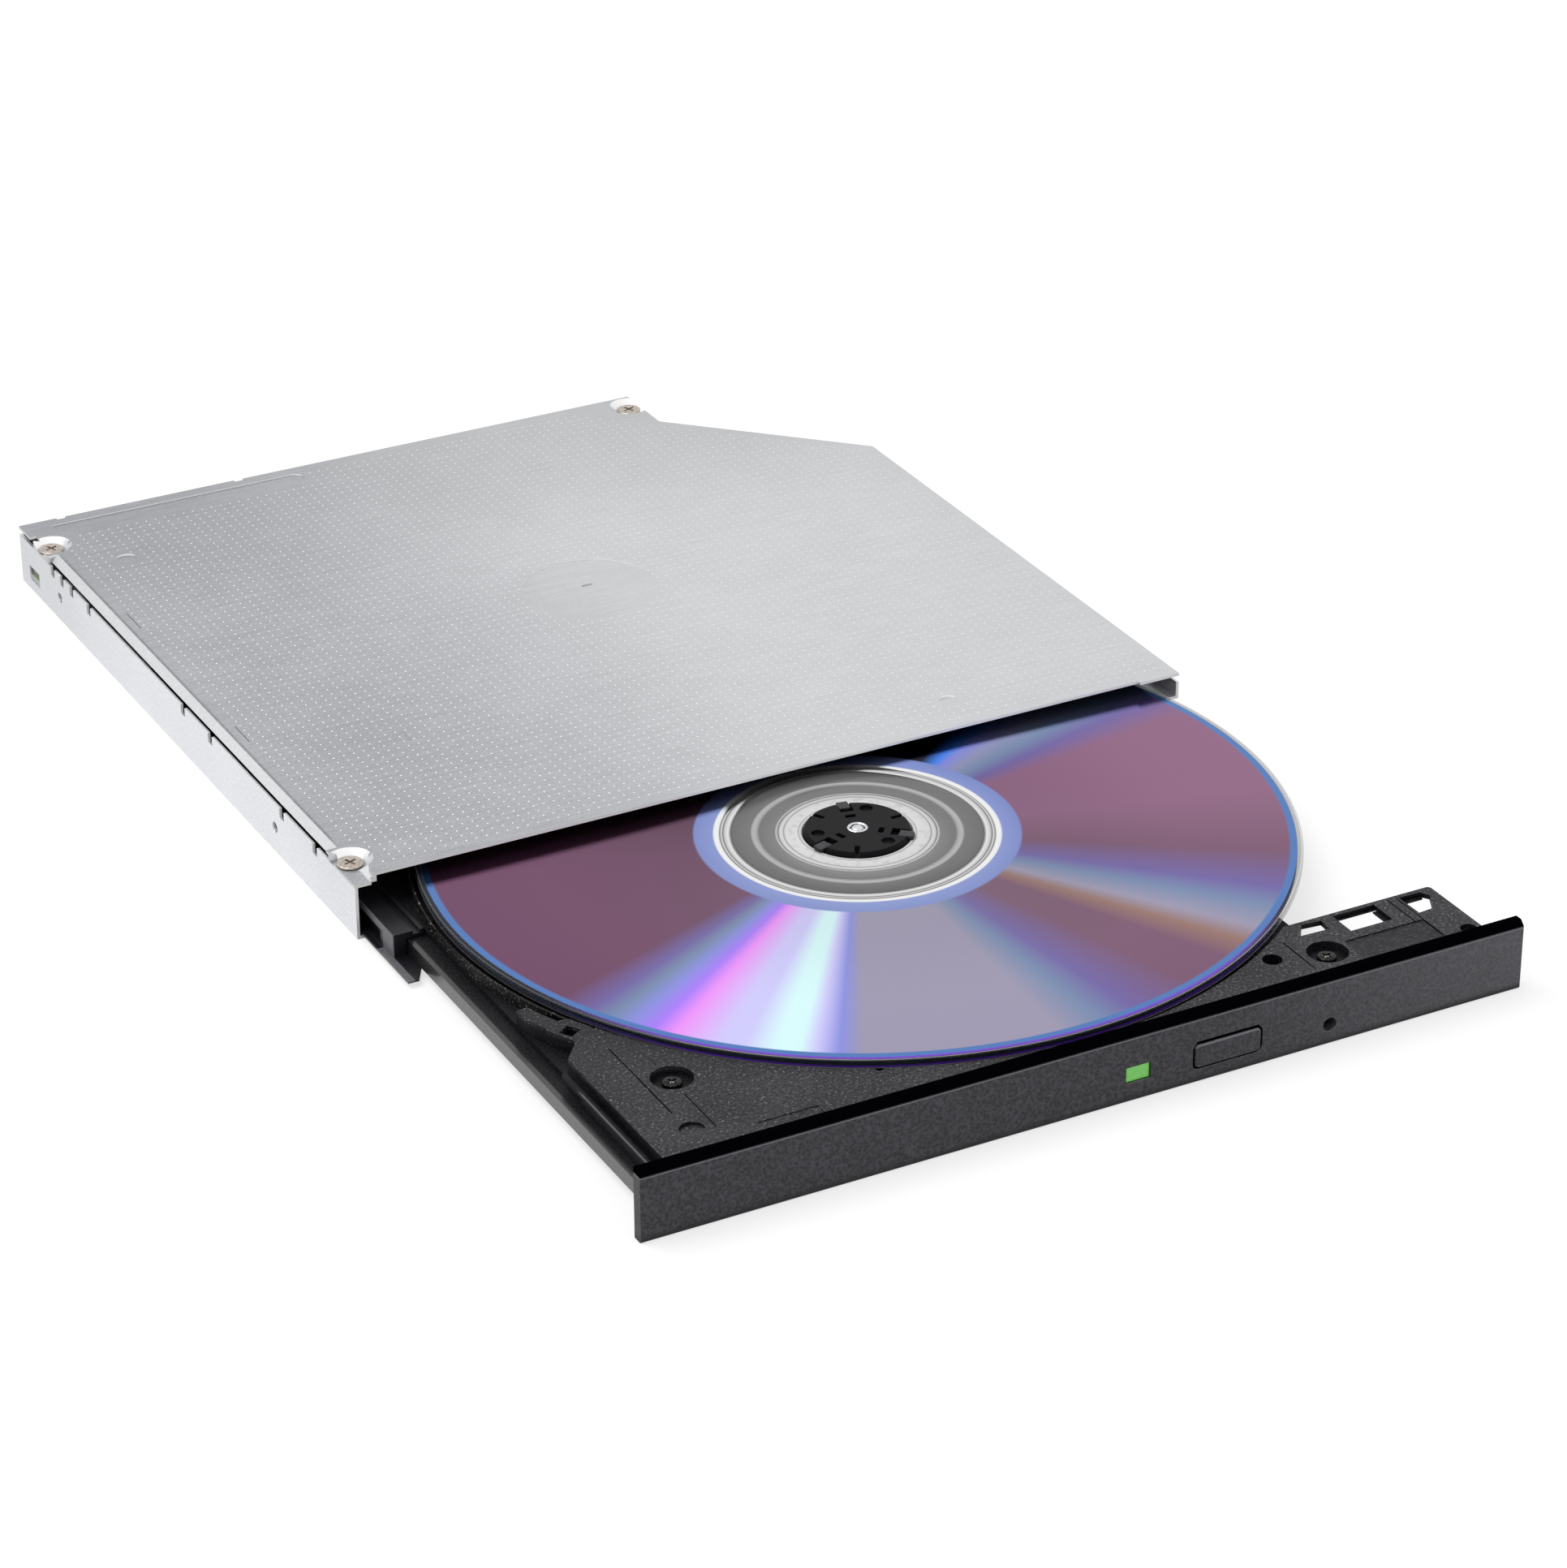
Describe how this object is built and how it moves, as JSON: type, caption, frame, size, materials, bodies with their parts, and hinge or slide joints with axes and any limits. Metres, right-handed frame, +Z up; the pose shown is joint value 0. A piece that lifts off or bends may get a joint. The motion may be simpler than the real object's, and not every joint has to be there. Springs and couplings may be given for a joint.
{
  "type": "internal dvd writer",
  "caption": "Slim tray-load internal disc writer for a laptop, tray part way out with a disc on its sprung hub, plain charcoal bezel with eject button and lamp.",
  "frame": {"origin": "middle of the case's underside, on its bottom face", "axes": "+X across the drive to the right seen from the bezel, +Y from the bezel into the drive, +Z up from the underside to the cover"},
  "size_m": [0.128, 0.2103, 0.0101],
  "materials": {
    "case_steel": "galvanised sheet, matt with fine streaks",
    "screw_nickel": "nickel plate, slightly warm",
    "screw_dark": "dark zinc plate",
    "black_plastic": "moulded, matt",
    "tray_black": "moulded, coarse grain",
    "runner_grey": "filled nylon, satin",
    "bezel_charcoal": "fine leather grain, gloss top edge",
    "hub_black": "moulded, satin",
    "jaw_grey": "acetal, satin",
    "board_green": "solder mask",
    "chip_black": "moulded, matt",
    "socket_cream": "moulded, satin",
    "cable_film": "amber film",
    "lamp_green": "clear green",
    "polished_steel": "ground and polished",
    "dark_steel": "stamped, plated",
    "magnet_grey": "nickel plated, dull",
    "copper_winding": "enamelled copper wire on a steel core",
    "soft_rubber": "matt",
    "disc_mauve": "clear polycarbonate over a mauve reflecting layer",
    "sled_metal": "die cast",
    "lens_glass": "clear, coated"
  },
  "bodies": {
    "case": {"bottom_case": "case_steel", "top_cover": "case_steel", "cover_screws": "screw_nickel", "left_guide_rail": "black_plastic", "right_guide_rail": "black_plastic", "main_board": "board_green", "board_chips": "chip_black", "board_screws": "screw_nickel", "rear_plug": "black_plastic", "catch_post": "polished_steel", "flat_cable": "cable_film", "board_socket": "socket_cream"},
    "left_runner": {"left_runner": "runner_grey"},
    "right_runner": {"right_runner": "runner_grey"},
    "tray": {"tray": "tray_black", "tray_screws": "screw_dark", "under_plate": "case_steel", "bezel": "bezel_charcoal", "push_switch": "chip_black", "front_board": "board_green", "lamp": "socket_cream", "light_pipe": "lamp_green", "tray_socket": "socket_cream", "latch_spring": "polished_steel", "solenoid": "dark_steel", "traverse_chassis": "dark_steel", "main_guide_rod": "polished_steel", "second_guide_rod": "polished_steel", "isolators": "soft_rubber", "isolator_screws": "screw_dark", "spindle_base": "dark_steel", "stator": "copper_winding", "feed_motor": "dark_steel"},
    "spinner": {"rotor": "dark_steel", "rotor_magnet": "magnet_grey", "spindle_shaft": "polished_steel", "turntable": "hub_black", "turntable_mat": "soft_rubber", "clamp_hub": "hub_black", "disc": "disc_mauve"},
    "jaw_1": {"clamp_jaw_1": "jaw_grey"},
    "jaw_2": {"clamp_jaw_2": "jaw_grey"},
    "jaw_3": {"clamp_jaw_3": "jaw_grey"},
    "pickup": {"pickup_sled": "sled_metal", "rack_clip": "polished_steel", "lens_magnets": "magnet_grey"},
    "lead_screw": {"lead_screw": "polished_steel"},
    "lens": {"lens_holder": "hub_black", "objective_lens": "lens_glass"},
    "button": {"eject_button": "bezel_charcoal", "switch_plunger": "socket_cream"},
    "latch": {"latch_lever": "black_plastic"}
  },
  "joints": [
    {"name": "tray_slide", "type": "slide", "parent": "case", "child": "tray", "axis": [0, -1, 0], "range_m": [-0.08165, 0.044]},
    {"name": "left_runner_slide", "type": "slide", "parent": "case", "child": "left_runner", "axis": [0, -1, 0], "range_m": [-0.04083, 0.022]},
    {"name": "right_runner_slide", "type": "slide", "parent": "case", "child": "right_runner", "axis": [0, -1, 0], "range_m": [-0.04083, 0.022]},
    {"name": "spindle_spin", "type": "hinge", "parent": "tray", "child": "spinner", "pos_m": [0.0027, -0.07944, 0.0057], "axis": [0, 0, 1], "continuous": true},
    {"name": "jaw_1_slide", "type": "slide", "parent": "spinner", "child": "jaw_1", "axis": [-0.2079, -0.9781, 0], "range_m": [0, 0.0005], "stiffness_N_per_m": 200},
    {"name": "jaw_2_slide", "type": "slide", "parent": "spinner", "child": "jaw_2", "axis": [0.9511, 0.309, 0], "range_m": [0, 0.0005], "stiffness_N_per_m": 200},
    {"name": "jaw_3_slide", "type": "slide", "parent": "spinner", "child": "jaw_3", "axis": [-0.7431, 0.6691, 0], "range_m": [0, 0.0005], "stiffness_N_per_m": 200},
    {"name": "pickup_slide", "type": "slide", "parent": "tray", "child": "pickup", "axis": [-0.5736, -0.8192, 0], "range_m": [0, 0.034]},
    {"name": "lead_screw_spin", "type": "hinge", "parent": "tray", "child": "lead_screw", "pos_m": [-0.01008, -0.07049, 0.00275], "axis": [-0.5736, -0.8192, 0], "range_deg": [0, 4081]},
    {"name": "lens_focus", "type": "slide", "parent": "pickup", "child": "lens", "axis": [0, 0, 1], "range_m": [-0.0003, 0.0003], "stiffness_N_per_m": 150},
    {"name": "button_press", "type": "slide", "parent": "tray", "child": "button", "axis": [0, 1, 0], "range_m": [0, 0.0004], "stiffness_N_per_m": 800},
    {"name": "latch_swing", "type": "hinge", "parent": "tray", "child": "latch", "pos_m": [0.0275, -0.1402, 0.002], "axis": [0, 0, 1], "range_deg": [-18, 0]}
  ],
  "couplings": [
    {"joint": "left_runner_slide", "follows": "tray_slide", "ratio": 0.5},
    {"joint": "right_runner_slide", "follows": "tray_slide", "ratio": 0.5},
    {"joint": "lead_screw_spin", "follows": "pickup_slide", "rad_per_m": 2094.4}
  ]
}
